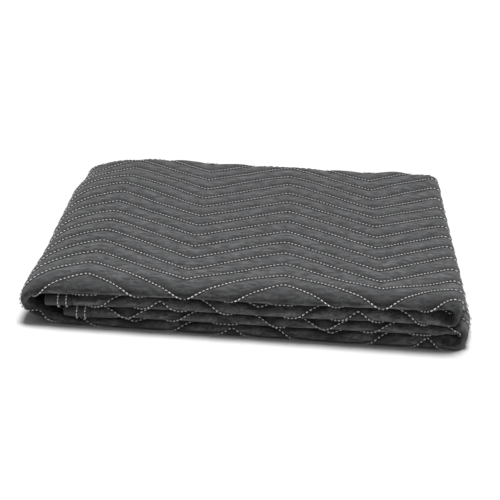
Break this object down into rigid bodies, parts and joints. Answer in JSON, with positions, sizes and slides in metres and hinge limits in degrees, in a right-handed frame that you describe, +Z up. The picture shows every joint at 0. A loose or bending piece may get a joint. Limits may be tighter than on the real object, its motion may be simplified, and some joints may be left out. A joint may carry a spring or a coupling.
{
  "type": "moving pad",
  "caption": "Quilted moving pad with bound edges, folded into a flat stack with a soft loop at one side.",
  "frame": {"origin": "middle of the box, on the surface that the pad lies on", "axes": "+Z up, -Y towards the folded noses at the front, +X towards the two tight folds, -X towards the big loop"},
  "size_m": [0.4722, 0.4964, 0.0556],
  "materials": {
    "quilted_cloth": "matt quilted cotton blend",
    "binding_tape": "matt woven tape",
    "sewing_thread": "twisted cotton thread"
  },
  "bodies": {
    "root": {"quilted_pad": "quilted_cloth", "binding_end_second": "binding_tape", "binding_end_third": "binding_tape", "binding_side_outer": "binding_tape", "binding_side_inner": "binding_tape"}
  },
  "joints": []
}
